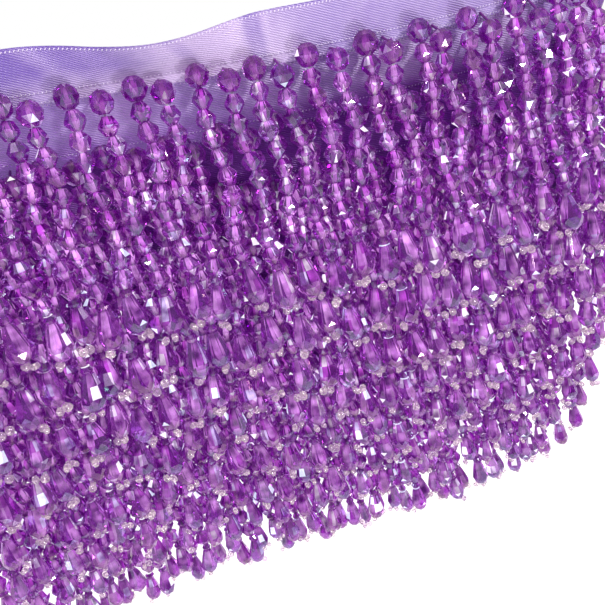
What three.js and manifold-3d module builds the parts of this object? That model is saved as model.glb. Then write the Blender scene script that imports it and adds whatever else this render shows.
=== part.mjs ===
// Beaded fringe trim, hanging: nine overlapping lengths of satin ribbon, each one set lower
// and further back than the one before, with a row of faceted bead strands at its lower edge.
// Millimetres, +Z up. X runs along the trim, -Y is its front. The origin is the middle of
// the uppermost ribbon's top edge, where the trim is held.

import * as THREE from 'three';
import { mergeVertices } from 'three/addons/utils/BufferGeometryUtils.js';
import Module from 'manifold-3d';

const wasm = await Module();
wasm.setup();

// Driving dimensions

const ribbon = {
  thickness: 1.15,
  endMargin: 3.0,     // ribbon beyond the last strand
  tuckOverlap: 2.4,   // a lower ribbon's top edge starts this far under the edge above
  tuckDepth: 1.6,     // and this far behind it
  leastHeight: 12,    // it starts higher where it would come out lower than this
};

const band = { gap: 0.35, height: 2.9 };      // the strip that carries one tier's strands

const strand = {
  pitch: 9.33,
  standOff: 3.7,      // from the ribbon's middle plane forward to the strand's axis
  shortBead: 2.6,     // depth of the top bead's centre under the edge, on every second strand
  longBead: 5.7,      // and on the strands between them
  beadRadius: 4.2,
  beadHalfHeight: 4.0,
  neckAbove: 3.4,
  threadRadius: 0.9,
  bicones: 9,
  biconeLength: 6.2,
  spacer: 2.7,        // the small bead between the bicones and the drop
  bodyRadius: 2.6,
  dropTopRadius: 2.5,
  dropRadius: 4.1,
  dropWidestAt: 8.3,
  dropLength: 13,
  seedReach: 2.5,     // the seed beads that close the strand under its drop
  seedRadius: 1.4,
};

const root = { depth: 1.6, forward: 0.35, radius: 0.8 };   // where a long strand leaves the band

// First and last strand of each tier and where its ribbon ends, counted in pitches from the
// middle, and how far its ribbon's lower edge is below and behind the top edge of the trim.
// The lower tiers follow each other more closely, and their right-hand ends stop sooner.
const tiers = [
  { first: -14.0, last: 14.0, ribbonEnd: 14.0, down: 13.0, back: 3.66 },
  { first: -13.5, last: 14.5, ribbonEnd: 14.5, down: 32.2, back: 9.06 },
  { first: -14.0, last: 14.0, ribbonEnd: 14.0, down: 51.4, back: 14.46 },
  { first: -13.5, last: 14.5, ribbonEnd: 14.5, down: 68.9, back: 19.7 },
  { first: -14.0, last: 14.0, ribbonEnd: 14.0, down: 85.4, back: 24.9 },
  { first: -13.5, last: 13.5, ribbonEnd: 13.5, down: 100.4, back: 30.1 },
  { first: -14.0, last: 13.0, ribbonEnd: 13.0, down: 113.9, back: 35.3 },
  { first: -13.5, last: 12.5, ribbonEnd: 12.5, down: 125.5, back: 40.5 },
  { first: -14.0, last: 12.0, ribbonEnd: 12.0, down: 134.5, back: 45.7 },
];

const halfSpread = 14 * strand.pitch;
const leftEnd = -halfSpread - ribbon.endMargin;

// The whole trim bends in plan and rises towards its left end, as cubics of x / halfSpread.
const bends = {
  back: { linear: -8.4, square: -4.7, cube: 18.6 },
  rise: { linear: -7.4, square: 5.25, cube: 3.4 },
};

const stationStep = 2 * strand.pitch;
const lastStation = 7;
const clearOfEnd = stationStep / 3;      // no station comes nearer to an end than this

// Slack in the uppermost ribbon tips its top edge forward and down along one stretch.
const slack = { centre: -32, halfWidth: 32, forward: 4.5, dip: 2.5 };

// Strands sway along the trim in a slow wave, a little unevenly.
const sway = { reach: 1.2, wavelength: 110, tierPhase: 0.5, uneven: 0.2, swing: 0.3 };

const halfThickness = ribbon.thickness / 2;

// Bends, shared by every ribbon, band and strand

function cubic(bend, x) {
  const v = x / halfSpread;
  return bend.linear * v + bend.square * v ** 2 + bend.cube * v ** 3;
}

// The solids follow a bend in straight stretches between stations.
function along(bend, x) {
  const before = THREE.MathUtils.clamp(Math.floor(x / stationStep), -lastStation, lastStation - 1);
  const start = cubic(bend, before * stationStep);
  const end = cubic(bend, (before + 1) * stationStep);
  return THREE.MathUtils.lerp(start, end, x / stationStep - before);
}

function stationsUpTo(rightEnd) {
  const places = [leftEnd];
  for (let i = 1 - lastStation; i * stationStep < rightEnd - clearOfEnd; i += 1) {
    places.push(i * stationStep);
  }
  places.push(rightEnd);
  return places;
}

// The lower edge of a tier's ribbon
function edgeOf(tier) {
  return { back: tiers[tier].back, up: -tiers[tier].down };
}

function below(point, distance) {
  return { back: point.back, up: point.up - distance };
}

function slackAt(x) {
  const part = Math.abs(x - slack.centre) / slack.halfWidth;
  return part < 1 ? (1 + Math.cos(Math.PI * part)) / 2 : 0;
}

// A repeatable value from -1 to 1 for one strand
function uneven(tier, index, salt) {
  const wave = Math.sin(index * 12.9898 + tier * 78.233 + salt * 37.719) * 43758.5453;
  return 2 * (wave - Math.floor(wave)) - 1;
}

// Closed skins

// Joins four-cornered sections, listed counter-clockwise as seen from the last one.
function loft(sections) {
  const corners = 4;
  const last = (sections.length - 1) * corners;
  const index = [0, 2, 1, 0, 3, 2, last, last + 1, last + 2, last, last + 2, last + 3];
  for (let start = 0; start < last; start += corners) {
    for (let c = 0; c < corners; c += 1) {
      const a = start + c;
      const b = start + ((c + 1) % corners);
      index.push(a, b, b + corners, a, b + corners, a + corners);
    }
  }
  const geometry = new THREE.BufferGeometry();
  geometry.setAttribute('position', new THREE.Float32BufferAttribute(sections.flat(2), 3));
  geometry.setIndex(index);
  return geometry;
}

function toSolid(geometry) {
  const merged = mergeVertices(geometry);
  return new wasm.Manifold(new wasm.Mesh({
    numProp: 3,
    vertProperties: merged.attributes.position.array,
    triVerts: new Uint32Array(merged.index.array),
  }));
}

function toGeometry(solid) {
  const mesh = solid.getMesh();
  const geometry = new THREE.BufferGeometry();
  geometry.setAttribute('position', new THREE.BufferAttribute(mesh.vertProperties, 3));
  geometry.setIndex(new THREE.BufferAttribute(mesh.triVerts, 1));
  return geometry;
}

// Ribbons and bands: flat between an upper and a lower edge at each station. The upper edge
// is cut square to the sheet, the lower one level.

function squareTo(back, up) {
  const run = Math.hypot(back, up);
  return { back: (-up / run) * halfThickness, up: (back / run) * halfThickness };
}

function sheetSection(x, upper, lower) {
  const top = squareTo(lower.back - upper.back, lower.up - upper.up);
  const foot = squareTo(0, -1);
  const y = along(bends.back, x);
  const z = along(bends.rise, x);
  return [
    [x, y + upper.back - top.back, z + upper.up - top.up],
    [x, y + lower.back - foot.back, z + lower.up - foot.up],
    [x, y + lower.back + foot.back, z + lower.up + foot.up],
    [x, y + upper.back + top.back, z + upper.up + top.up],
  ];
}

function rightEndOf(tier) {
  return tiers[tier].ribbonEnd * strand.pitch + ribbon.endMargin;
}

function ribbonTop(tier, x) {
  if (tier === 0) {
    return { back: -slack.forward * slackAt(x), up: -slack.dip * slackAt(x) };
  }
  const tucked = below(edgeOf(tier - 1), ribbon.tuckOverlap);
  const up = Math.max(tucked.up, edgeOf(tier).up + ribbon.leastHeight);
  return { back: tucked.back + ribbon.tuckDepth, up };
}

function ribbonGeometry(tier) {
  const lower = edgeOf(tier);
  return loft(stationsUpTo(rightEndOf(tier)).map((x) => sheetSection(x, ribbonTop(tier, x), lower)));
}

function bandGeometry(tier) {
  const upper = below(edgeOf(tier), band.gap);
  const lower = below(upper, band.height);
  return loft(stationsUpTo(rightEndOf(tier)).map((x) => sheetSection(x, upper, lower)));
}

// Strands: four-sided, with a fat top bead and a drop, leaning a little

function ring(x, y, z, radius) {
  return [[x, y - radius, z], [x - radius, y, z], [x, y + radius, z], [x + radius, y, z]];
}

function strandGeometry(tier, index) {
  const place = tiers[tier].first + index;
  const x = place * strand.pitch;
  const isShort = index % 2 === 0;
  const edge = edgeOf(tier);
  const edgeY = along(bends.back, x) + edge.back;
  const edgeZ = along(bends.rise, x) + edge.up;
  const axisY = edgeY - strand.standOff;
  const beadZ = edgeZ - (isShort ? strand.shortBead : strand.longBead);
  const bodyTop = beadZ - strand.beadHalfHeight;
  const dropTop = bodyTop - strand.bicones * strand.biconeLength - strand.spacer;
  const end = dropTop - strand.dropLength - strand.seedReach;

  const phase = (2 * Math.PI * x) / sway.wavelength + sway.tierPhase * tier;
  const leanX = sway.reach * Math.sin(phase) + sway.uneven * uneven(tier, index, 1);
  const leanY = sway.swing * uneven(tier, index, 2);
  const hung = (z, radius) => {
    const part = (beadZ - z) / (beadZ - end);
    return ring(x + leanX * part, axisY + leanY * part, z, radius);
  };

  const rootZ = edgeZ - root.depth;
  const rootY = edgeY - root.forward;
  const head = isShort
    ? [ring(x, axisY, beadZ + strand.beadHalfHeight, strand.threadRadius)]
    : [ring(x, rootY, rootZ, root.radius), ring(x, axisY, beadZ + strand.neckAbove, strand.threadRadius)];
  return loft([
    ...head,
    hung(beadZ, strand.beadRadius),
    hung(bodyTop, strand.bodyRadius),
    hung(dropTop, strand.dropTopRadius),
    hung(dropTop - strand.dropWidestAt, strand.dropRadius),
    hung(end, strand.seedRadius),
  ]);
}

function fringeGeometry(tier) {
  const count = tiers[tier].last - tiers[tier].first + 1;
  const parts = [toSolid(bandGeometry(tier))];
  for (let index = 0; index < count; index += 1) {
    parts.push(toSolid(strandGeometry(tier, index)));
  }
  return toGeometry(wasm.Manifold.union(parts));
}

// The model

function satin() {
  return new THREE.MeshStandardMaterial({ color: 0xb79add, roughness: 0.42, metalness: 0 });
}

function amethyst() {
  return new THREE.MeshStandardMaterial({ color: 0x7d37a0, roughness: 0.12, metalness: 0 });
}

function named(name, geometry, material) {
  const mesh = new THREE.Mesh(geometry, material);
  mesh.name = name;
  return mesh;
}

const group = new THREE.Group();
tiers.forEach((row, tier) => {
  group.add(named(`ribbon_${tier + 1}`, ribbonGeometry(tier), satin()));
  group.add(named(`fringe_${tier + 1}`, fringeGeometry(tier), amethyst()));
});

export default group;
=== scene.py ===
"""A hanging trim of satin ribbons and faceted bead strands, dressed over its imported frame."""

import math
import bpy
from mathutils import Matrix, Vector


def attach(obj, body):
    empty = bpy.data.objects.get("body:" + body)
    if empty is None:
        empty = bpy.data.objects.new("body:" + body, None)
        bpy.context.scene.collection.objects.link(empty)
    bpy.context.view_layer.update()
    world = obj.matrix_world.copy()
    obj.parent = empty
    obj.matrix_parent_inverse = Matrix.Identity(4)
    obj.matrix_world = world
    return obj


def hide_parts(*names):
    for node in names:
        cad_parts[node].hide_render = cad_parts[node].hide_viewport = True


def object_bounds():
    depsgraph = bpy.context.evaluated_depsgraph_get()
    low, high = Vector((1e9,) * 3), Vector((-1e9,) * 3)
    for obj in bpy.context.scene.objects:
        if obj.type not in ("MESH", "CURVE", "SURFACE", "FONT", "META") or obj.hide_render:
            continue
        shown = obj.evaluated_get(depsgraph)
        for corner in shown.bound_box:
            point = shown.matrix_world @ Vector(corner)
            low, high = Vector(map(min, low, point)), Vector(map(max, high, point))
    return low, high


bl_info = {
    "name": "Beaded Fringe Trim",
    "version": (1, 0, 0),
    "blender": (4, 5, 0),
    "location": "3D View > Sidebar > Fringe",
    "description": "Dresses a hanging trim of satin ribbons with faceted bead strands",
    "category": "Add Mesh",
}

from functools import partial

import bmesh
import bpy
from bpy.props import FloatProperty, FloatVectorProperty, IntProperty, PointerProperty
from mathutils import Matrix, Vector

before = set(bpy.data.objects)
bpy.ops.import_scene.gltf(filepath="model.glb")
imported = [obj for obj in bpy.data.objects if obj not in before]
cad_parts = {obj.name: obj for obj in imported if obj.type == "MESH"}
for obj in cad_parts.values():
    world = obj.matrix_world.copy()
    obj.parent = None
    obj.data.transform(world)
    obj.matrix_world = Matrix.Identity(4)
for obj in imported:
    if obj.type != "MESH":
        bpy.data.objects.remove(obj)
CAD_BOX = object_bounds()

MM = 0.001
TIER_COUNT = sum(name.startswith("ribbon_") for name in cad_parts)

# First and last strand of each tier and where its ribbon ends, in pitches from the middle, and
# how far its ribbon's lower edge is below and behind the top edge of the trim, in millimetres
TIERS = (
    {"first": -14.0, "last": 14.0, "ribbon_end": 14.0, "down": 13.0, "back": 3.66},
    {"first": -13.5, "last": 14.5, "ribbon_end": 14.5, "down": 32.2, "back": 9.06},
    {"first": -14.0, "last": 14.0, "ribbon_end": 14.0, "down": 51.4, "back": 14.46},
    {"first": -13.5, "last": 14.5, "ribbon_end": 14.5, "down": 68.9, "back": 19.7},
    {"first": -14.0, "last": 14.0, "ribbon_end": 14.0, "down": 85.4, "back": 24.9},
    {"first": -13.5, "last": 13.5, "ribbon_end": 13.5, "down": 100.4, "back": 30.1},
    {"first": -14.0, "last": 13.0, "ribbon_end": 13.0, "down": 113.9, "back": 35.3},
    {"first": -13.5, "last": 12.5, "ribbon_end": 12.5, "down": 125.5, "back": 40.5},
    {"first": -14.0, "last": 12.0, "ribbon_end": 12.0, "down": 134.5, "back": 45.7},
)

# The bends of the whole trim, in millimetres, as cubics of x over half the spread
BEND_BACK = {"linear": -8.4, "square": -4.7, "cube": 18.6}
BEND_RISE = {"linear": -7.4, "square": 5.25, "cube": 3.4}

# Soft folds of the uppermost ribbon: where each starts at the top edge, where it ends at the
# foot, how far it stands out and how wide it is, all in millimetres
HEADING_FOLDS = (
    {"top": -66, "foot": -52, "out": 0.7, "width": 5.0},
    {"top": -44, "foot": -30, "out": -0.6, "width": 4.5},
    {"top": -22, "foot": -29, "out": 0.6, "width": 7.0},
    {"top": 5, "foot": 3, "out": 0.5, "width": 2.6},
    {"top": 10, "foot": 8, "out": -0.4, "width": 2.4},
    {"top": 42, "foot": 36, "out": 0.4, "width": 3.0},
    {"top": 78, "foot": 70, "out": -0.5, "width": 5.0},
    {"top": -98, "foot": -90, "out": 0.5, "width": 6.0},
)

# Painted bands of sheen and shade across the uppermost ribbon: middle, half width and how far each
# leans from top edge to foot, in millimetres, and how much lighter or darker it is painted
HEADING_PAINTED_BANDS = (
    {"middle": -100, "width": 48, "lean": 12, "more": -0.48},
    {"middle": -66, "width": 4, "lean": 16, "more": 0.16},
    {"middle": -23, "width": 3, "lean": 10, "more": -0.28},
    {"middle": -10, "width": 23, "lean": 6, "more": 0.52},
    {"middle": 4, "width": 3.2, "lean": 1, "more": -0.55},
    {"middle": 40, "width": 20, "lean": 0, "more": -0.06},
)

# Ripples of a lower ribbon: how high they are and how long, in millimetres to a radian, and
# how strong the shorter ones are against the longer
RIPPLE = {"height": 0.14, "long": 5.1, "short": 2.7, "share": 0.6}

# How light each satin is painted, from 0 in shade to 1 in the light, and the painted light and
# shade of its waves and folds, the painted shade of its top rim and the painted light among the
# strands before its lower half
SHEEN = {"first": 0.42, "second": 0.6, "lower": 0.8, "waves": 0.12, "folds": 0.15, "rim": -0.35,
         "open": 0.6}
SHEEN_WAVE = 7.0   # length of its waves, in millimetres to a radian
# The first ribbon's top rim, this share of its height, is painted darker as painted shade
RIM_SHARE = 0.05   # of the ribbon's height

# How the lower ribbons take painted violet shade behind the beads: from this share of the way down
# the second one, and how much of it at most, and more from tier to tier
VIOLET_SHADE = {"from": 0.65, "most": 0.86, "more": 0.03}

# How strong the painted glow of the first ribbon is, and of the second where painted light among
# the strands is full
PAINTED_GLOW = {"first": 0.12, "second": 0.8}

# Painted light among the strands, and the painted glow of the second satin, is full left of one
# place and none right of another, in millimetres
PAINTED_LIGHT_SPAN = {"open": -30, "close": 20}

# Weave of the satin: pitch of its ribs and of the floats along them, in millimetres, and the
# cosine and sine of the slant of the ribs
WEAVE = {"rib": 0.72, "float": 1.1, "cosine": 0.92, "sine": 0.39}

# Rows of woven edge loops: place as a share of the way down the strip, length of a loop in
# millimetres and its slant in radians
LOOP_ROWS = {
    "top_loops": {"share": 0.07, "length": 1.0, "slant": 0.6},
    "foot_loops": {"share": 0.97, "length": 0.65, "slant": 0.9},
    "band_loops": {"share": 0.86, "length": 0.6, "slant": 0.9},
}
LOOP_RADIUS = 0.2   # in millimetres, and so far a loop stands before the cloth

# Strands of the first tier that hang aside of their even place: how far to the right and how far
# down, in millimetres
ASIDE = {7: (-2.0, 0), 10: (1.2, 0.8), 12: (2.0, 0), 13: (1.9, 0), 14: (1.2, 0.9), 15: (0, 1.6),
         18: (1.0, 0), 19: (-0.6, 1.3), 20: (1.0, 0), 21: (-1.2, 1.6), 23: (-1.3, 2.8),
         25: (0, 3.5)}

# Tier by tier: what share of the slip its strands have, and how far below their even place they
# hang, in millimetres. The last drops come together into one dense edge.
SLIP_SHARES = (0, 0.25, 0.5, 0.75, 1, 1, 0.85, 0.6, 0.35)
LOWERED = (0, 0, 0, 0, 0, 0, 1.5, 3.4, -1.5)

# How unevenly strands hang, in millimetres: aside of their place in the lower tiers, and how much
# more or less than the others their foot leans along the trim and across it
UNEVEN = {"aside": 0.5, "along": 0.2, "across": 0.3}

# A strand strays in full below the first of this many parts of its length. Across the trim it
# strays by this share of that, at this pace and up to so many radians out of step.
STRAY = {"parts": 3, "across": 0.6, "pace": 0.8, "step": 6}

TIER_SHIFT = 0.5     # of the wave of leaning strands, in radians from tier to tier
TIER_SHRINK = 0.04   # of the drops, as a share from tier to tier below the second
# The bores' painted light is dimmed by this share from tier to tier
TIER_DIM = 0.06      # of the light in the bores, as a share from tier to tier

# Rings of each faceted bead, from the top down: height and radius in millimetres and turn in half
# facets
ROUND_RINGS = ((3.7, 1.7, 0), (2.4, 3.3, 1), (0, 4.15, 0), (-2.4, 3.3, 1), (-3.7, 1.7, 0))
BICONE_RINGS = ((3.08, 1.7, 0), (0.6, 3.35, 0), (-0.5, 3.35, 1), (-3.08, 1.6, 0))
SPACER_RINGS = ((1.3, 1.5, 0), (0, 2.3, 1), (-1.3, 1.5, 0))
DROP_RINGS = ((0, 2.0, 0), (-3.8, 3.1, 0), (-7.8, 4.05, 0), (-9.4, 4.05, 1), (-11.6, 3.1, 0),
              (-13, 1.4, 1))

# Faceted beads: how far each kind tips on its thread, in radians. Its tint, from 0, darkest, to 1:
# the least, how far it varies in the first tier and how much less from tier to tier. The share of
# its side facets that get a painted glint in the first tier, and how much more from tier to tier.
# The salts of its turn and its tint.
BEAD_KINDS = {
    "top_beads": {"tip": 0.12, "tint": (0, 0.18, 0), "glints": (0, 0), "salts": (3, 4)},
    "bicones": {"tip": 0.22, "tint": (0.04, 0.45, 0.035), "glints": (0, 0.003), "salts": (20, 10)},
    "spacers": {"tip": 0.1, "tint": (0, 0.5, 0), "glints": (0, 0), "salts": (7, 8)},
    "drops": {"tip": 0.1, "tint": (0.15, 0.45, 0.035), "glints": (0.008, 0.008), "salts": (5, 6)},
}

# Seed beads: what share of the strands has three and not two, how far they hang below the tip of
# a drop and how unevenly, in millimetres, and how far they are from the thread, in radii. Those of
# the last three tiers lie beside the tip.
SEEDS = {"three": 0.3, "below": 1.1, "below_last": -0.3, "last_from": 6, "uneven": 0.3,
         "away": 1.02}
SEED_WALL = {"half": 0.44, "tall": 1.35}   # half its thickness, in radii, and height over thickness

COAT_FILMS = (330, 430, 560)   # thickness of the iridescent film on a bead, in nanometres

# Every facet has a number from 0 to 1. From each of these numbers up, a facet has this cast of
# colour, a painted reflection of the iridescent film whose palest is a painted highlight, and this
# painted glow
# inside it: a faint painted violet glow on most facets, painted glints of pale cyan and white on
# the rarest. A side facet with a painted glint has one of the glinting numbers.
FACET_CASTS = (
    (0.91, (0.50, 0.50, 0.46, 1)),
    (0.925, (0.46, 0.46, 0.88, 1)),
    (0.96, (0.92, 0.84, 0.98, 1)),
)
FACET_PAINTED_GLINTS = (
    (0.0, (0.02, 0.001, 0.03, 1)),
    (0.80, (0.05, 0.008, 0.07, 1)),
    (0.96, (0.15, 0.10, 0.19, 1)),
    (0.99, (0.62, 0.74, 0.86, 1)),
    (0.996, (0.95, 0.94, 0.97, 1)),
)
GLINTING = (0.993, 1.0)
SIDE = (0.3, 0.6)   # where the middle of a side facet is, as a share of the way down a bead

BLACK = (0.0, 0.0, 0.0, 1.0)


# Sizes and colours


def length_of(name, description, millimetres):
    """A length that the sidebar shows in the scene's unit."""
    return FloatProperty(
        name=name, description=description, default=millimetres * MM, unit="LENGTH")


def colour_of(name, description, colour):
    """A colour that is picked in the sidebar."""
    return FloatVectorProperty(
        name=name, description=description, default=colour, subtype="COLOR", min=0, max=1)


class FRINGE_PG_layout(bpy.types.PropertyGroup):
    pitch: length_of("Strand Pitch", "From one strand to the next", 9.33)
    end_margin: length_of("End Margin", "Ribbon beyond the last strand", 3)
    stand_off: length_of("Stand-off", "From the ribbon forward to a strand's axis", 4.6)
    sway: length_of("Sway", "How far a strand's foot leans along the trim", 1.2)
    sway_wave: length_of("Sway Wave", "Length of the wave of leaning strands", 110)
    slip: length_of("Slip", "How unevenly the strands of the lower tiers end", 4.5)
    wander: length_of("Wander", "How far a strand strays from a straight line", 1.3)
    wander_wave: length_of("Wander Wave", "Length of one wave of a straying strand", 40)
    least_size: FloatProperty(
        name="Least Drop Size", description="Size of the drops of the last tiers, as a share",
        default=0.8, min=0.5, max=1)


class FRINGE_PG_ribbon(bpy.types.PropertyGroup):
    thickness: length_of("Thickness", "Thickness of the satin", 0.32)
    tuck_overlap: length_of("Tuck Overlap", "How far under the edge above a ribbon starts", 2.4)
    tuck_depth: length_of("Tuck Depth", "How far behind the edge above a ribbon starts", 1.6)
    least_height: length_of("Least Height", "A ribbon starts higher to keep this height", 12)
    band_height: length_of("Band Height", "Height of the strip that carries the strands", 2.9)
    band_gap: length_of("Band Gap", "Between a ribbon and its strip", 0.35)
    slack_forward: length_of("Slack Forward", "How far the top edge tips forward", 4.5)
    slack_dip: length_of("Slack Dip", "How far the top edge dips", 5.0)
    slack_centre: length_of("Slack Centre", "Middle of the slack stretch", -27)
    slack_half: length_of("Slack Half Width", "Half of the slack stretch", 39)
    loop_pitch: length_of("Loop Pitch", "From one woven edge loop to the next", 1.2)


class FRINGE_PG_beads(bpy.types.PropertyGroup):
    sides: IntProperty(
        name="Facets Around", description="Facets round a bead", default=8, min=5, max=12)
    short_bead: length_of("Short Bead Depth", "Top bead under the edge, every second strand", 2.6)
    long_bead: length_of("Long Bead Depth", "Top bead under the edge, the strands between", 5.7)
    root_depth: length_of("Root Depth", "Under the edge, where a thread leaves the band", 1.6)
    half_height: length_of("Top Bead Half Height", "Half the height of a top bead", 4)
    bicones: IntProperty(
        name="Bicones", description="Bicones on a strand", default=9, min=1, max=20)
    bicone_length: length_of("Bicone Length", "Length of one bicone", 6.2)
    spacer: length_of("Spacer", "Small bead above the drop", 2.7)
    drop_length: length_of("Drop Length", "Length of a drop", 13)
    odd: FloatProperty(
        name="Oddness", description="How much beads of a kind differ in size, as a share",
        default=0.05, min=0, max=0.2)
    seed_radius: length_of("Seed Radius", "Radius of a clear seed bead", 1.65)
    core_radius: length_of("Bore Radius", "Radius of the pale bore and thread", 0.7)


class FRINGE_PG_colours(bpy.types.PropertyGroup):
    # Satin light and satin shade are the painted light and the painted shade of one satin
    satin_light: colour_of("Satin Light", "Satin where it faces the light", (0.55, 0.42, 0.66))
    satin_shade: colour_of("Satin Shade", "Satin in its folds", (0.15, 0.08, 0.38))
    # The colour of the satin's painted glow, though the satin is no lamp
    satin_painted_glow: colour_of("Satin Through", "Light that comes through it", (0.40, 0.25, 0.66))
    # The painted violet shade of the satin behind the beads
    satin_violet_shade: colour_of("Satin Stained", "Satin behind the beads", (0.21, 0.02, 0.37))
    amethyst_deep: colour_of("Amethyst Deep", "The darkest beads", (0.20, 0.004, 0.31))
    amethyst_light: colour_of("Amethyst Light", "The palest beads", (0.60, 0.15, 0.75))
    champagne: colour_of("Champagne", "Clear seed beads", (0.74, 0.56, 0.74))
    bore: colour_of("Bore", "The pale bore seen inside a bead", (0.86, 0.66, 0.92))


# Where things hang


def layout():
    return bpy.context.scene.fringe_layout


def ribbon_sizes():
    return bpy.context.scene.fringe_ribbon


def bead_sizes():
    return bpy.context.scene.fringe_beads


def colours():
    return bpy.context.scene.fringe_colours


def half_spread():
    return -TIERS[0]["first"] * layout().pitch


def bend(shape, x):
    """A bend of the whole trim at x, in metres."""
    v = x / half_spread()
    return (shape["linear"] * v + shape["square"] * v ** 2 + shape["cube"] * v ** 3) * MM


def edge_of(tier):
    """How far back and up a ribbon's lower edge is, before the trim bends, rises and falls."""
    return TIERS[tier]["back"] * MM, -TIERS[tier]["down"] * MM


def at(x, back, up):
    """A point on the trim, from its place in the upright section at x."""
    return Vector((x, bend(BEND_BACK, x) + back, bend(BEND_RISE, x) + up))


def ribbon_ends(tier):
    margin = layout().end_margin
    return -half_spread() - margin, TIERS[tier]["ribbon_end"] * layout().pitch + margin


def slack_at(x):
    r = ribbon_sizes()
    part = abs(x - r.slack_centre) / r.slack_half
    return (1 + math.cos(math.pi * part)) / 2 if part < 1 else 0.0


def uneven(tier, index, salt):
    """A repeatable value from -1 to 1 for one strand, another one for each salt."""
    wave = math.sin(index * 12.9898 + tier * 78.233 + salt * 37.719) * 43758.5453
    return 2 * (wave - math.floor(wave)) - 1


class Strand:
    """One hanging strand: its axis, and the heights of what is strung on it."""

    def __init__(self, tier, index):
        lay, beads = layout(), bead_sizes()
        self.tier, self.index = tier, index
        self.size = max(lay.least_size, 1 - TIER_SHRINK * max(0, tier - 1))
        aside, lower = UNEVEN["aside"] * uneven(tier, index, 15), LOWERED[tier]
        if tier == 0:
            aside, lower = ASIDE.get(index, (0, 0))
        self.x = (TIERS[tier]["first"] + index) * lay.pitch + aside * MM
        self.is_short = index % 2 == 0
        self.edge = edge = at(self.x, *edge_of(tier))
        self.y = edge.y - lay.stand_off
        slip = SLIP_SHARES[tier] * lay.slip * uneven(tier, index, 12)
        under_edge = beads.short_bead if self.is_short else beads.long_bead
        self.bead = edge.z - under_edge - slip - lower * MM
        self.body = self.bead - beads.half_height
        self.spacer = self.body - beads.bicones * beads.bicone_length
        self.drop = self.spacer - beads.spacer
        self.foot = self.drop - beads.drop_length * self.size
        phase = 2 * math.pi * self.x / lay.sway_wave + TIER_SHIFT * tier
        self.lean_x = lay.sway * math.sin(phase) + UNEVEN["along"] * MM * uneven(tier, index, 1)
        self.lean_y = UNEVEN["across"] * MM * uneven(tier, index, 2)

    def point(self, z):
        """The strand's axis at a height: it leans, and strays in waves on the way down."""
        lay, depth = layout(), self.bead - z
        part = depth / (self.bead - self.foot)
        stray = lay.wander * min(1.0, max(0.0, part * STRAY["parts"]))
        turn = 2 * math.pi * (depth / lay.wander_wave + self.random(60))
        side = self.lean_x * part + stray * math.sin(turn)
        turn = STRAY["pace"] * turn + STRAY["step"] * self.random(61)
        swing = self.lean_y * part + STRAY["across"] * stray * math.sin(turn)
        return Vector((self.x + side, self.y + swing, z))

    def random(self, salt):
        return (uneven(self.tier, self.index, salt) + 1) / 2

    def bead_at(self, kind, z, size, number):
        """The matrix and tint of one bead: it is sized, turned at random, tipped a little and set
        on the strand at a height. Beads of a kind are numbered down the strand."""
        row = BEAD_KINDS[kind]
        turn_salt, tint_salt = (salt + number for salt in row["salts"])
        tip, side, odd = (uneven(self.tier, self.index, turn_salt + more) for more in (50, 90, 130))
        place = (Matrix.Translation(self.point(z)) @ Matrix.Rotation(row["tip"] * tip, 4, "X")
                 @ Matrix.Rotation(row["tip"] * side, 4, "Y")
                 @ Matrix.Rotation(2 * math.pi * self.random(turn_salt), 4, "Z")
                 @ Matrix.Scale(size * (1 + bead_sizes().odd * odd), 4))
        least, varies, less = row["tint"]
        return place, least + (varies - less * self.tier) * self.random(tint_salt)


def strands(tier):
    row = TIERS[tier]
    return [Strand(tier, i) for i in range(int(row["last"] - row["first"]) + 1)]


# Shader building


class Signal:
    """A shader socket that arithmetic can be written with."""

    def __init__(self, look, socket):
        self.look, self.socket = look, socket

    def _maths(self, operation, first, second):
        return self.look.node("ShaderNodeMath", {"operation": operation}, {0: first, 1: second})

    def __add__(self, other):
        return self._maths("ADD", self, other)

    def __radd__(self, other):
        return self._maths("ADD", other, self)

    def __sub__(self, other):
        return self._maths("SUBTRACT", self, other)

    def __rsub__(self, other):
        return self._maths("SUBTRACT", other, self)

    def __mul__(self, other):
        return self._maths("MULTIPLY", self, other)

    def __rmul__(self, other):
        return self._maths("MULTIPLY", other, self)


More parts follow.
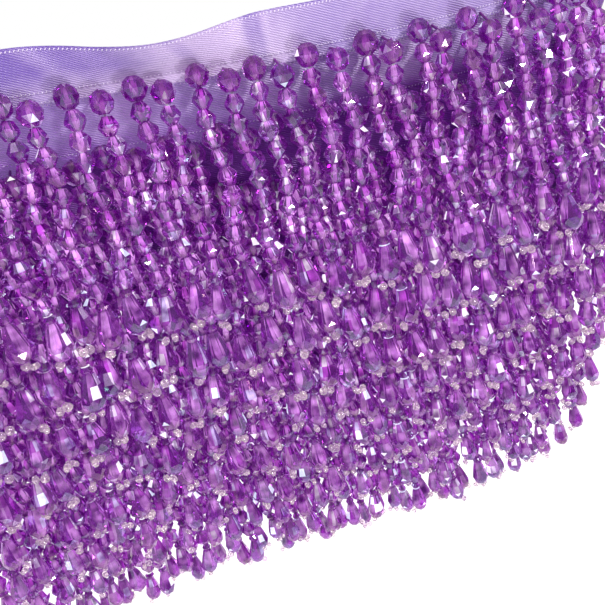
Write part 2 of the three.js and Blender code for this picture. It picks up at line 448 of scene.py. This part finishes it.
class Look:
    """A node material under construction."""

    def __init__(self, name):
        self.material = bpy.data.materials.new(name)
        self.material.use_nodes = True
        # No finish glows enough to light what is near it, so none is sampled as a lamp.
        self.material.cycles.emission_sampling = "NONE"
        self.tree = self.material.node_tree
        self.tree.nodes.clear()

    def node(self, kind, settings=None, inputs=None, output=0):
        made = self.tree.nodes.new(kind)
        for name, value in (settings or {}).items():
            setattr(made, name, value)
        for key, value in (inputs or {}).items():
            if isinstance(value, Signal):
                self.tree.links.new(value.socket, made.inputs[key])
            else:
                made.inputs[key].default_value = value
        return Signal(self, made.outputs[output]) if made.outputs else None

    def sine(self, value):
        return self.node("ShaderNodeMath", {"operation": "SINE"}, {0: value})

    def attribute(self, name):
        settings = {"attribute_type": "GEOMETRY", "attribute_name": name}
        return self.node("ShaderNodeAttribute", settings, output="Fac")

    def mix(self, factor, first, second):
        settings = {"data_type": "RGBA", "clamp_factor": True}
        return self.node("ShaderNodeMix", settings, {0: factor, 6: first, 7: second}, output=2)

    def ramp(self, value, stops):
        """Steps of colour along a value, from (place, colour) stops."""
        made = self.tree.nodes.new("ShaderNodeValToRGB")
        made.color_ramp.interpolation = "CONSTANT"
        elements = made.color_ramp.elements
        while len(elements) < len(stops):
            elements.new(1.0)
        for element, (place, colour) in zip(elements, stops):
            element.position, element.color = place, colour
        self.tree.links.new(value.socket, made.inputs[0])
        return Signal(self, made.outputs[0])

    def noise(self, vector, scale, detail=2.0):
        inputs = {"Vector": vector, "Scale": scale, "Detail": detail}
        return self.node("ShaderNodeTexNoise", inputs=inputs)

    def object_place(self):
        return self.node("ShaderNodeTexCoord", output="Object")

    def cloth_place(self):
        """Distance along the cloth and down it, in metres, from the piece's own UV map."""
        uv = self.node("ShaderNodeUVMap", {"uv_map": "cloth"})
        split = self.node("ShaderNodeSeparateXYZ", inputs={0: uv})
        return split, Signal(self, split.socket.node.outputs[1])

    def surface(self, **inputs):
        named = {name.replace("_", " "): value for name, value in inputs.items()}
        shader = self.node("ShaderNodeBsdfPrincipled", inputs=named)
        self.node("ShaderNodeOutputMaterial", inputs={"Surface": shader})
        return self.material


def rgba(colour):
    return (*colour, 1.0)


# Finishes


def satin_look(name, behind_beads):
    """Lavender satin: fine slanting ribs, painted bands of sheen and shade, painted violet shade
    behind the beads and a painted glow.
    """
    c = colours()
    look = Look(name)
    along, down = look.cloth_place()
    cosine, sine = WEAVE["cosine"], WEAVE["sine"]
    rib = look.sine((down * cosine - along * sine) * (2 * math.pi / (WEAVE["rib"] * MM)))
    float_end = look.sine((along * cosine + down * sine) * (2 * math.pi / (WEAVE["float"] * MM)))
    thread = rib * (0.75 + float_end * 0.25)
    mottle = look.noise(look.object_place(), 240.0, 3.0)
    sheen = look.attribute("sheen") + (mottle - 0.5) * 0.3 + thread * 0.28
    # The sheen mixes the painted shade and the painted light of the satin
    colour = look.mix(sheen, rgba(c.satin_shade), rgba(c.satin_light))
    if behind_beads:
        # Behind the beads the front of the satin is painted a violet shade
        colour = look.mix(look.attribute("violet_shade"), colour, rgba(c.satin_violet_shade))
    # The through attribute sets the satin's painted glow, though the satin is no lamp
    through = look.mix(look.attribute("through"), BLACK, rgba(c.satin_painted_glow))
    relief = {"Strength": 0.7, "Distance": 0.15 * MM, "Height": thread}
    bump = look.node("ShaderNodeBump", inputs=relief, output="Normal")
    return look.surface(Base_Color=colour, Roughness=0.36, Sheen_Weight=0.25, Sheen_Roughness=0.35,
                        Specular_IOR_Level=0.55, Emission_Color=through, Emission_Strength=0.3,
                        Normal=bump)


def satin_looks():
    """The front and the back of the satin."""
    return [look_named("lavender_satin", lambda: satin_look("lavender_satin", True)),
            look_named("lavender_satin_back", lambda: satin_look("lavender_satin_back", False))]


def edging_look():
    """The pale thread of the woven edge loops."""
    look = Look("woven_edge_thread")
    mottle = look.noise(look.object_place(), 900.0)
    colour = look.mix(mottle, rgba(colours().satin_light), (0.86, 0.78, 0.96, 1.0))
    return look.surface(Base_Color=colour, Roughness=0.34, Sheen_Weight=0.2)


def amethyst_look(film):
    """Clear amethyst acrylic under an iridescent film, given in nanometres."""
    c = colours()
    look = Look(f"amethyst_acrylic_{film}")
    tint, facet = look.attribute("tint"), look.attribute("facet")
    body = look.mix(tint + (facet - 0.45) * 0.8, rgba(c.amethyst_deep), rgba(c.amethyst_light))
    cast = look.ramp(facet, FACET_CASTS)
    is_cast = look.node("ShaderNodeMath", {"operation": "GREATER_THAN"},
                        {0: facet, 1: FACET_CASTS[0][0]})
    colour = look.mix(is_cast * 0.6, body, cast)
    # Painted glints and a faint painted violet glow, emitted by the facets though they are no lamp
    glint = look.ramp(facet, FACET_PAINTED_GLINTS)
    return look.surface(Base_Color=colour, Roughness=0.03, IOR=1.52, Transmission_Weight=0.9,
                        Coat_Weight=0.2, Coat_Roughness=0.03, Thin_Film_Thickness=float(film),
                        Thin_Film_IOR=1.62, Emission_Color=glint, Emission_Strength=0.9)


def amethyst_looks():
    """A mixed batch of beads: one look for each film."""
    return [look_named(f"amethyst_acrylic_{film}", lambda film=film: amethyst_look(film))
            for film in COAT_FILMS]


def champagne_look():
    """Clear seed beads with a faint pink cast and a faint painted glow."""
    look = Look("champagne_seed")
    champagne = rgba(colours().champagne)
    colour = look.mix(look.attribute("tint"), champagne, (0.92, 0.80, 0.84, 1.0))
    return look.surface(Base_Color=colour, Roughness=0.04, IOR=1.5, Transmission_Weight=0.92,
                        Emission_Color=(0.95, 0.78, 0.88, 1), Emission_Strength=0.07)


def bore_look():
    """The pale bore inside a bead, painted pale and glowing, though it is no lamp, where its lit
    value is high and painted dark where it is low.
    """
    look = Look("pale_bore")
    mottle = look.noise(look.object_place(), 260.0, 1.0)
    bright = look.attribute("lit") * (mottle - 0.3) * 2.8
    # The bore is painted pale and made to glow where its lit value is high, painted dark where low
    colour = look.mix(bright, (0.20, 0.02, 0.28, 1.0), rgba(colours().bore))
    glow = look.mix(bright, BLACK, (0.90, 1.0, 0.84, 1.0))
    return look.surface(Base_Color=colour, Roughness=0.5, Emission_Color=glow,
                        Emission_Strength=1.8)


def look_named(name, maker):
    """The material of that name, made the first time it is asked for."""
    return bpy.data.materials.get(name) or maker()


# Mesh helpers


def to_piece(name, bm, materials, smooth=False):
    """Makes an object of a bmesh, its place in its mesh."""
    mesh = bpy.data.meshes.new(name)
    for face in bm.faces:
        face.smooth = smooth
    bm.to_mesh(mesh)
    bm.free()
    for material in materials:
        mesh.materials.append(material)
    piece = bpy.data.objects.new(name, mesh)
    bpy.context.collection.objects.link(piece)
    return piece


def belongs(piece, node):
    """Makes a piece part of the trim's one body, in the place of a node."""
    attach(piece, "root")
    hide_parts(node)


def faceted(rings, sides):
    """A bead's facets: the hull of its rings, with each flat facet one face."""
    bm = bmesh.new()
    for height, radius, turn in rings:
        half_facet = math.pi / sides
        place = Matrix.Translation((0, 0, height * MM)) @ Matrix.Rotation(turn * half_facet, 4, "Z")
        bmesh.ops.create_circle(bm, segments=sides, radius=radius * MM, matrix=place)
    bmesh.ops.convex_hull(bm, input=bm.verts)
    loose = [edge for edge in bm.edges if not edge.link_faces]
    bmesh.ops.delete(bm, geom=loose, context="EDGES")
    bmesh.ops.dissolve_limit(bm, angle_limit=math.radians(1), verts=bm.verts, edges=bm.edges)
    bmesh.ops.recalc_face_normals(bm, faces=bm.faces)
    return bm


def seed_shape(radius):
    """A clear seed bead: a fat ring round its hole, its axis along Z."""
    bm = bmesh.new()
    wall = radius * SEED_WALL["half"]
    stand = Matrix.Rotation(math.pi / 2, 4, "X") @ Matrix.Diagonal((1, SEED_WALL["tall"], 1, 1))
    place = Matrix.Translation((radius - wall, 0, 0)) @ stand
    bmesh.ops.create_circle(bm, segments=6, radius=wall, matrix=place)
    bmesh.ops.spin(bm, geom=bm.verts[:] + bm.edges[:], cent=(0, 0, 0), axis=(0, 0, 1),
                   angle=2 * math.pi, steps=8, use_merge=True)
    bmesh.ops.remove_doubles(bm, verts=bm.verts, dist=0.01 * MM)
    bmesh.ops.recalc_face_normals(bm, faces=bm.faces)
    return bm


def tube_shape(steps):
    """A closed six-sided tube of radius 1 whose height runs from 0 to 1."""
    bm = bmesh.new()
    bmesh.ops.create_circle(bm, segments=6, radius=1.0, cap_ends=True)
    edges = bm.edges[:]
    for _ in range(steps):
        grown = bmesh.ops.extrude_edge_only(bm, edges=edges)["geom"]
        moved = [item for item in grown if isinstance(item, bmesh.types.BMVert)]
        edges = [item for item in grown
                 if isinstance(item, bmesh.types.BMEdge) and item.is_boundary]
        bmesh.ops.translate(bm, vec=(0, 0, 1 / steps), verts=moved)
    bmesh.ops.contextual_create(bm, geom=edges)
    bmesh.ops.recalc_face_normals(bm, faces=bm.faces)
    return bm


def as_mesh(bm, name):
    mesh = bpy.data.meshes.new(name)
    bm.to_mesh(mesh)
    bm.free()
    return mesh


def strung(name, shape, places, materials, glinting=0.0, smooth=False):
    """One joined mesh of a bead shape at each (matrix, tint) place, of whose side facets the
    given share gets a painted glint."""
    bm = bmesh.new()
    foot = min(polygon.center.z for polygon in shape.polygons)
    side = [SIDE[0] < polygon.center.z / foot < SIDE[1] for polygon in shape.polygons]
    for number, (matrix, shade) in enumerate(places):
        first_vert, first_face = len(bm.verts), len(bm.faces)
        bm.from_mesh(shape)
        bm.verts.ensure_lookup_table()
        bm.faces.ensure_lookup_table()
        bmesh.ops.transform(bm, matrix=matrix, verts=bm.verts[first_vert:])
        layers = bm.faces.layers.float
        if "tint" not in layers:
            layers.new("tint")
            layers.new("facet")
            bm.faces.ensure_lookup_table()
        tint, facet = layers["tint"], layers["facet"]
        for spot, face in enumerate(bm.faces[first_face:]):
            face[tint] = shade
            value = (uneven(spot, number, 7) + 1) / 2
            face[facet] = GLINTING[number % 2] if side[spot] and value < glinting else value
            face.material_index = int(shade * 997) % len(materials)
    return to_piece(name, bm, materials, smooth)


def cut_width(surface, start):
    """The width a strip was cut to, measured at its end, where nothing is slack."""
    return (surface(start, 1.0) - surface(start, 0.0)).length


def cloth_grid(name, ends, rows, surface, painted_light):
    """A satin strip: surface(x, share down) gives its points, painted_light(x, share down) its
    painted sheen, shade and glow, and its UV map its true size."""
    bm = bmesh.new()
    bmesh.ops.create_grid(bm, x_segments=240, y_segments=rows, size=0.5)
    uv = bm.loops.layers.uv.new("cloth")
    painted_layers = ("sheen", "violet_shade", "through")
    for layer in painted_layers:
        bm.verts.layers.float.new(layer)
    layers = [bm.verts.layers.float[layer] for layer in painted_layers]
    start, end = ends
    places = {}
    for vert in bm.verts:
        x, share = start + (vert.co.x + 0.5) * (end - start), 0.5 - vert.co.y
        places[vert] = x, share
        vert.co = surface(x, share)
        for layer, value in zip(layers, painted_light(x, share)):
            vert[layer] = value
    width = cut_width(surface, start)
    for face in bm.faces:
        for loop in face.loops:
            x, share = places[loop.vert]
            loop[uv].uv = (x - start, share * width)
    bm.normal_update()
    bm.faces.ensure_lookup_table()
    if bm.faces[0].normal.y > 0:
        bmesh.ops.reverse_faces(bm, faces=bm.faces)
    for edge in bm.edges:
        edge.smooth = not edge.is_boundary
    piece = to_piece(name, bm, satin_looks(), smooth=True)
    shell = piece.modifiers.new("Cloth thickness", "SOLIDIFY")
    shell.thickness = ribbon_sizes().thickness
    shell.offset = 0
    shell.material_offset = 1
    return piece


# Ribbons


def fold_out(x, share):
    """How far the uppermost ribbon's folds stand out, in metres."""
    total = 0.0
    for fold in HEADING_FOLDS:
        middle = fold["top"] + (fold["foot"] - fold["top"]) * share
        total += fold["out"] * math.exp(-(((x / MM) - middle) / fold["width"]) ** 2)
    return total * MM * math.cos(math.pi / 2 * share)


def ripple(tier, x, share):
    """The gentle waves of a lower ribbon, still at its two edges."""
    mm = x / MM
    short = math.sin(mm / RIPPLE["short"] + 1.7 * tier + 3 * share)
    wave = math.sin(mm / RIPPLE["long"] + tier) + RIPPLE["share"] * short
    return RIPPLE["height"] * MM * wave * math.sin(math.pi * share)


def ribbon_point(tier, x, share):
    """A point of a ribbon, from its top edge, where share is 0, to its foot, where it is 1."""
    r = ribbon_sizes()
    foot_back, edge_up = edge_of(tier)
    foot_up = edge_up - r.band_gap
    if tier == 0:
        back, up = -r.slack_forward * slack_at(x), -r.slack_dip * slack_at(x)
        out = fold_out(x, share)
    else:
        back, up = edge_of(tier - 1)
        back += r.tuck_depth
        up = max(up - r.tuck_overlap, edge_up + r.least_height)
        out = ripple(tier, x, share)
    return at(x, back + (foot_back - back) * share - out, up + (foot_up - up) * share)


def ribbon_sheen(tier, x, share):
    """Painted light and shade of the satin, from 0 in shade to 1 in the light."""
    mm = x / MM
    if tier > 0:
        even = SHEEN["second"] if tier == 1 else SHEEN["lower"]
        return even + SHEEN["waves"] * math.sin(mm / SHEEN_WAVE + tier)
    glow = 0.0
    for painted_light in HEADING_PAINTED_BANDS:
        aside = (mm - painted_light["middle"] - painted_light["lean"] * share) / painted_light["width"]
        glow += painted_light["more"] * math.exp(-aside ** 4)
    # A fold is painted lighter where it stands out and darker where it sinks
    fold = fold_out(x, share) / MM
    # The top rim is painted darker as painted shade
    rim = SHEEN["rim"] if share < RIM_SHARE else 0.0
    # Painted light among the strands over the lower half, full at the left
    painted_light_among_beads = SHEEN["open"] * painted_light_share(x) * max(0.0, 2 * share - 1)
    return SHEEN["first"] + glow + SHEEN["folds"] * fold + rim + painted_light_among_beads


def painted_light_share(x):
    """How much of the painted light among the strands the satin gets at x, from 0 at the right
    to 1 at the left.
    """
    way = (PAINTED_LIGHT_SPAN["close"] - x / MM) / (PAINTED_LIGHT_SPAN["close"] - PAINTED_LIGHT_SPAN["open"])
    return min(1.0, max(0.0, way))


def painted_glow_share(tier, x):
    """How strong the satin's painted glow is, from 0 to 1."""
    if tier > 1:
        return 0.0
    return PAINTED_GLOW["second"] * painted_light_share(x) if tier else PAINTED_GLOW["first"]


def painted_violet_shade(tier, share):
    """How much painted violet shade the satin takes behind the beads, from 0 to 1."""
    if tier == 0:
        return 0.0
    way = (share - VIOLET_SHADE["from"]) / (1 - VIOLET_SHADE["from"])
    covered = min(1.0, max(0.0, way)) if tier == 1 else 1.0
    most = min(1.0, VIOLET_SHADE["most"] + VIOLET_SHADE["more"] * tier)
    return most * covered * covered * (3 - 2 * covered)


def ribbon_painted_light(tier, x, share):
    """Painted sheen, painted violet shade and painted glow of the satin at a place on a ribbon."""
    return ribbon_sheen(tier, x, share), painted_violet_shade(tier, share), painted_glow_share(tier, x)


def band_painted_light(tier, x, share):
    """The strip under a ribbon has the painted light and shade of the ribbon's foot all the way
    down.
    """
    return ribbon_painted_light(tier, x, 1.0)


def band_point(tier, x, share):
    """The strip under a ribbon: its top edge tucks in behind the ribbon's."""
    r = ribbon_sizes()
    back, edge_up = edge_of(tier)
    tucked = max(0.0, 1 - 3 * share) * r.thickness
    return at(x, back + tucked, edge_up + r.band_gap - (r.band_height + 2 * r.band_gap) * share)


def edge_loops(row, tier, surface, node):
    """A row of small woven loops along an edge, in front of the cloth."""
    pitch = ribbon_sizes().loop_pitch
    share, length, slant = (LOOP_ROWS[row][key] for key in ("share", "length", "slant"))
    thin = LOOP_RADIUS * MM
    bm = bmesh.new()
    start, end = ribbon_ends(tier)
    for i in range(int((end - start) / pitch)):
        x = start + (i + 0.5) * pitch
        point = surface(x, share)
        run = (surface(x + pitch, share) - point).normalized()
        turn = Vector((1, 0, 0)).rotation_difference(run).to_matrix().to_4x4()
        size = Matrix.Diagonal((thin, thin, length / 2 * MM, 1))
        place = (Matrix.Translation(point + Vector((0, -thin, 0))) @ turn
                 @ Matrix.Rotation(slant, 4, "Y") @ size)
        bmesh.ops.create_icosphere(bm, subdivisions=1, radius=1.0, matrix=place)
    look = look_named("woven_edge_thread", edging_look)
    belongs(to_piece(f"{row}_{tier + 1}", bm, [look], smooth=True), node)


class FRINGE_OT_ribbons(bpy.types.Operator):
    """Cut and hang the satin ribbons and their woven edges"""
    bl_idname = "fringe.ribbons"
    bl_label = "Ribbons"

    def execute(self, context):
        for tier in range(TIER_COUNT):
            node = f"ribbon_{tier + 1}"
            surface, painted_light = partial(ribbon_point, tier), partial(ribbon_painted_light, tier)
            satin = cloth_grid(f"satin_{tier + 1}", ribbon_ends(tier), 14, surface, painted_light)
            belongs(satin, node)
            for row in ("top_loops", "foot_loops"):
                edge_loops(row, tier, surface, node)
        return {"FINISHED"}


class FRINGE_OT_bands(bpy.types.Operator):
    """Lay the narrow strip that carries each tier's strands"""
    bl_idname = "fringe.bands"
    bl_label = "Bands"

    def execute(self, context):
        for tier in range(TIER_COUNT):
            node = f"fringe_{tier + 1}"
            surface, painted_light = partial(band_point, tier), partial(band_painted_light, tier)
            band = cloth_grid(f"band_{tier + 1}", ribbon_ends(tier), 3, surface, painted_light)
            belongs(band, node)
            edge_loops("band_loops", tier, surface, node)
        return {"FINISHED"}


# Beads


def string_tier(kind, tier, shape, spots):
    """One tier of a kind of faceted bead: spots(strand) lists their heights and sizes."""
    places = [s.bead_at(kind, z, size, number) for s in strands(tier)
              for number, (z, size) in enumerate(spots(s))]
    first, more = BEAD_KINDS[kind]["glints"]
    beads = strung(f"{kind}_{tier + 1}", shape, places, amethyst_looks(), first + more * tier)
    belongs(beads, f"fringe_{tier + 1}")


class FRINGE_OT_top_beads(bpy.types.Operator):
    """String the round faceted bead at the head of each strand"""
    bl_idname = "fringe.top_beads"
    bl_label = "Top Beads"

    def execute(self, context):
        shape = as_mesh(faceted(ROUND_RINGS, bead_sizes().sides), "round_bead")
        for tier in range(TIER_COUNT):
            string_tier("top_beads", tier, shape, lambda s: [(s.bead, 1)])
        bpy.data.meshes.remove(shape)
        return {"FINISHED"}


class FRINGE_OT_bicones(bpy.types.Operator):
    """String the bicones that make the body of each strand"""
    bl_idname = "fringe.bicones"
    bl_label = "Bicones"

    def execute(self, context):
        beads = bead_sizes()
        shape = as_mesh(faceted(BICONE_RINGS, beads.sides), "bicone")

        def spots(s):
            return [(s.body - (i + 0.5) * beads.bicone_length, (1 + s.size) / 2)
                    for i in range(beads.bicones)]

        for tier in range(TIER_COUNT):
            string_tier("bicones", tier, shape, spots)
        bpy.data.meshes.remove(shape)
        return {"FINISHED"}


class FRINGE_OT_drops(bpy.types.Operator):
    """String the small spacer and the faceted drop at the foot of each strand"""
    bl_idname = "fringe.drops"
    bl_label = "Spacers and Drops"

    def execute(self, context):
        beads = bead_sizes()
        drop = as_mesh(faceted(DROP_RINGS, beads.sides), "drop")
        spacer = as_mesh(faceted(SPACER_RINGS, beads.sides), "spacer")
        for tier in range(TIER_COUNT):
            string_tier("drops", tier, drop, lambda s: [(s.drop, s.size)])
            string_tier("spacers", tier, spacer, lambda s: [(s.drop + beads.spacer / 2, s.size)])
        bpy.data.meshes.remove(drop)
        bpy.data.meshes.remove(spacer)
        return {"FINISHED"}


class FRINGE_OT_seeds(bpy.types.Operator):
    """String the two or three small clear beads that close each strand under its drop"""
    bl_idname = "fringe.seeds"
    bl_label = "Seed Beads"

    def execute(self, context):
        beads = bead_sizes()
        shape = as_mesh(seed_shape(beads.seed_radius), "seed")
        for tier in range(TIER_COUNT):
            places = []
            below = SEEDS["below" if tier < SEEDS["last_from"] else "below_last"] * MM
            for s in strands(tier):
                count = 3 if s.random(9) > 1 - SEEDS["three"] else 2
                start = 2 * math.pi * s.random(31)
                reach = beads.seed_radius * SEEDS["away"] * s.size
                for i in range(count):
                    turn = start + 2 * math.pi * i / count
                    up = SEEDS["uneven"] * MM * uneven(tier, s.index, 40 + i)
                    away = Vector((reach * math.cos(turn), reach * math.sin(turn), up))
                    tumble = (Matrix.Rotation(math.pi * s.random(70 + i), 4, "X")
                              @ Matrix.Rotation(math.pi * s.random(80 + i), 4, "Y")
                              @ Matrix.Scale(s.size, 4))
                    place = Matrix.Translation(s.point(s.foot - below) + away) @ tumble
                    places.append((place, s.random(50 + i)))
            piece = strung(f"seeds_{tier + 1}", shape, places,
                           [look_named("champagne_seed", champagne_look)], smooth=True)
            belongs(piece, f"fringe_{tier + 1}")
        bpy.data.meshes.remove(shape)
        return {"FINISHED"}


class FRINGE_OT_bores(bpy.types.Operator):
    """Run the pale bore and thread out of the band and down the middle of each strand"""
    bl_idname = "fringe.bores"
    bl_label = "Bores and Thread"

    def execute(self, context):
        radius = bead_sizes().core_radius
        stretches = len(self.route(Strand(0, 0))) - 1
        tube = as_mesh(tube_shape(stretches), "tube")
        for tier in range(TIER_COUNT):
            bm = bmesh.new()
            light = bm.verts.layers.float.new("lit")
            for s in strands(tier):
                route = self.route(s)
                first = len(bm.verts)
                bm.from_mesh(tube)
                bm.verts.ensure_lookup_table()
                for vert in bm.verts[first:]:
                    step = round(vert.co.z * stretches)
                    point, share, lit = route[step]
                    run = route[min(step + 1, stretches)][0] - route[max(step - 1, 0)][0]
                    turn = Vector((0, 0, -1)).rotation_difference(run)
                    vert.co = point + turn @ Vector((vert.co.x, vert.co.y, 0)) * radius * share
                    vert[light] = lit
            bmesh.ops.recalc_face_normals(bm, faces=bm.faces)
            piece = to_piece(f"bores_{tier + 1}", bm, [look_named("pale_bore", bore_look)])
            belongs(piece, f"fringe_{tier + 1}")
        bpy.data.meshes.remove(tube)
        return {"FINISHED"}

    def route(self, s):
        """The thread's way as (point, share of the radius, painted light), painted dark between
        beads.
        """
        beads = bead_sizes()
        dim = 1 - TIER_DIM * s.tier
        way = [(Vector((s.x, s.edge.y, s.edge.z - beads.root_depth)), 0.6, 0.0),
               (s.point(s.bead + 0.8 * beads.half_height), 0.6, 0.0),
               (s.point(s.bead), 1.0, 0.4)]
        # In a bead: how far down it, as a share of its length, share of the radius and painted
        # light
        in_bicone = ((0, 0.6, 0.1), (0.1, 0.8, dim), (0.5, 1.0, 0.7 * dim))
        for i in range(beads.bicones):
            way += [(s.point(s.body - (i + down) * beads.bicone_length), share, lit)
                    for down, share, lit in in_bicone]
        drop = beads.drop_length * s.size
        in_drop = ((0, 0.7, 0.2), (0.15, 1.2, 0.7 * dim), (0.6, 1.9, 0.55 * dim), (0.85, 1.2, 0.2))
        return [*way, (s.point(s.spacer), 0.6, 0.0),
                *((s.point(s.drop - down * drop), share, lit) for down, share, lit in in_drop),
                (s.point(s.foot + beads.core_radius), 0.7, 0.0)]


class FRINGE_OT_cut_sizes(bpy.types.Operator):
    """Work out the flat size each ribbon was cut to, without keeping or showing it"""
    bl_idname = "fringe.cut_sizes"
    bl_label = "Cut Sizes"

    def execute(self, context):
        for tier in range(TIER_COUNT):
            start, end = ribbon_ends(tier)
            flat = (end - start, cut_width(partial(ribbon_point, tier), start))
        return {"FINISHED"}


# Stage

# The view: focal length over frame width, place in millimetres and angles in degrees
VIEW = {"focal_share": 700 / 605, "place": (-51.0, -225.9, -30.5), "pitch": 15.38, "yaw": 12.13,
        "roll": -14.6}


def camera_axes():
    """The camera's directions to its right, up and ahead."""
    pitch, yaw, roll = (math.radians(VIEW[name]) for name in ("pitch", "yaw", "roll"))
    flat = math.cos(pitch)
    ahead = Vector((math.sin(yaw) * flat, math.cos(yaw) * flat, -math.sin(pitch)))
    level = Vector((math.cos(yaw), -math.sin(yaw), 0))
    upright = level.cross(ahead)
    right = level * math.cos(roll) + upright * math.sin(roll)
    up = upright * math.cos(roll) - level * math.sin(roll)
    return right, up, ahead


# The studio is brightest above and behind the trim: that way, and the least and most strength
SKY = {"brightest": (0.0, 0.62, 0.78), "least": 0.05, "most": 0.85}


def studio_sky():
    """A pale room, dimmer in front and below, which stands plain white behind the trim."""
    world = bpy.data.worlds.new("studio")
    world.use_nodes = True
    nodes, links = world.node_tree.nodes, world.node_tree.links
    nodes.clear()
    facing = nodes.new("ShaderNodeVectorMath")
    facing.operation = "DOT_PRODUCT"
    facing.inputs[1].default_value = SKY["brightest"]
    links.new(nodes.new("ShaderNodeTexCoord").outputs["Generated"], facing.inputs[0])
    rise = nodes.new("ShaderNodeMapRange")
    rise.interpolation_type = "SMOOTHSTEP"
    reach = {"From Min": -1, "From Max": 1, "To Min": SKY["least"], "To Max": SKY["most"]}
    for name, value in reach.items():
        rise.inputs[name].default_value = value
    links.new(facing.outputs["Value"], rise.inputs["Value"])
    room, plain = nodes.new("ShaderNodeBackground"), nodes.new("ShaderNodeBackground")
    links.new(rise.outputs["Result"], room.inputs["Strength"])
    for shown in (room, plain):
        shown.inputs["Color"].default_value = (1, 1, 1, 1)
    mix = nodes.new("ShaderNodeMixShader")
    links.new(nodes.new("ShaderNodeLightPath").outputs["Is Camera Ray"], mix.inputs[0])
    links.new(room.outputs[0], mix.inputs[1])
    links.new(plain.outputs[0], mix.inputs[2])
    links.new(mix.outputs[0], nodes.new("ShaderNodeOutputWorld").inputs["Surface"])
    return world


# The lamps: place and size in metres, power in watts and colour. All aim at the trim's middle.
LAMPS = {
    "key": {"place": (0.60, -0.62, 0.45), "size": 0.10, "power": 6.5,
            "colour": (1.0, 0.98, 0.95)},
    "low_window": {"place": (0.25, -0.72, -0.60), "size": 0.15, "power": 3.0,
                   "colour": (0.97, 0.98, 1.0)},
    "left_window": {"place": (-0.75, -0.55, 0.25), "size": 0.15, "power": 3.5,
                    "colour": (0.96, 0.98, 1.0)},
}
LAMP_AIM = (-0.02, 0.0, -0.09)

FLOOR = {"under": 0.8, "half": 8.0}   # how far under the trim it lies and half its side, in metres


class FRINGE_OT_stage(bpy.types.Operator):
    """Set the camera, the pale floor and the soft studio light"""
    bl_idname = "fringe.stage"
    bl_label = "Stage"

    def execute(self, context):
        scene = context.scene
        right, up, ahead = camera_axes()
        lens = bpy.data.cameras.new("camera")
        lens.sensor_width = 36.0
        lens.lens = lens.sensor_width * VIEW["focal_share"]
        lens.clip_start = 0.002
        camera = bpy.data.objects.new("camera", lens)
        turn = Matrix((right, up, -ahead)).transposed().to_4x4()
        camera.matrix_world = Matrix.Translation(Vector(VIEW["place"]) * MM) @ turn
        scene.collection.objects.link(camera)
        scene.camera = camera

        bm = bmesh.new()
        place = Matrix.Translation((0, 0, CAD_BOX[0].z - FLOOR["under"]))
        bmesh.ops.create_grid(bm, x_segments=8, y_segments=8, size=FLOOR["half"], matrix=place)
        look = Look("pale_floor")
        grain = look.noise(look.object_place(), 6.0)
        colour = look.mix(grain, (0.9, 0.9, 0.9, 1), (0.93, 0.93, 0.93, 1))
        pale = look.surface(Base_Color=colour, Roughness=0.8, Emission_Color=(1, 1, 1, 1),
                            Emission_Strength=0.6)
        floor = to_piece("floor", bm, [pale])

        for name, row in LAMPS.items():
            self.lamp(name, row)
        scene.world = studio_sky()
        scene.cycles.max_bounces = 6
        scene.cycles.transmission_bounces = 6
        scene.cycles.diffuse_bounces = 2
        scene.view_settings.view_transform = "Standard"
        scene.view_settings.look = "None"
        return {"FINISHED"}

    def lamp(self, name, row):
        data = bpy.data.lights.new(name, "AREA")
        data.size, data.energy, data.color = row["size"], row["power"], row["colour"]
        lamp = bpy.data.objects.new(name, data)
        lamp.location = row["place"]
        aim = Vector(LAMP_AIM) - Vector(row["place"])
        lamp.rotation_euler = aim.to_track_quat("-Z", "Y").to_euler()
        bpy.context.scene.collection.objects.link(lamp)


class FRINGE_PT_panel(bpy.types.Panel):
    bl_label = "Beaded Fringe Trim"
    bl_idname = "FRINGE_PT_panel"
    bl_space_type = "VIEW_3D"
    bl_region_type = "UI"
    bl_category = "Fringe"

    def draw(self, context):
        column = self.layout.column(align=True)
        for operator in OPERATORS:
            column.operator(operator.bl_idname)
        for group in GROUPS.values():
            box = self.layout.box()
            values = getattr(context.scene, group)
            for name in values.bl_rna.properties.keys():
                if name not in {"rna_type", "name"}:
                    box.prop(values, name)


OPERATORS = (FRINGE_OT_stage, FRINGE_OT_ribbons, FRINGE_OT_bands, FRINGE_OT_bores,
             FRINGE_OT_top_beads, FRINGE_OT_bicones, FRINGE_OT_drops, FRINGE_OT_seeds,
             FRINGE_OT_cut_sizes)
GROUPS = {FRINGE_PG_layout: "fringe_layout", FRINGE_PG_ribbon: "fringe_ribbon",
          FRINGE_PG_beads: "fringe_beads", FRINGE_PG_colours: "fringe_colours"}


def register():
    for group, name in GROUPS.items():
        bpy.utils.register_class(group)
        setattr(bpy.types.Scene, name, PointerProperty(type=group))
    for cls in (*OPERATORS, FRINGE_PT_panel):
        bpy.utils.register_class(cls)


def unregister():
    for cls in reversed((*OPERATORS, FRINGE_PT_panel)):
        bpy.utils.unregister_class(cls)
    for group, name in reversed(GROUPS.items()):
        delattr(bpy.types.Scene, name)
        bpy.utils.unregister_class(group)


def main():
    register()
    bpy.ops.fringe.stage()
    bpy.ops.fringe.ribbons()
    bpy.ops.fringe.bands()
    bpy.ops.fringe.bores()
    bpy.ops.fringe.top_beads()
    bpy.ops.fringe.bicones()
    bpy.ops.fringe.drops()
    bpy.ops.fringe.seeds()
    bpy.ops.fringe.cut_sizes()


if __name__ == "__main__":
    main()
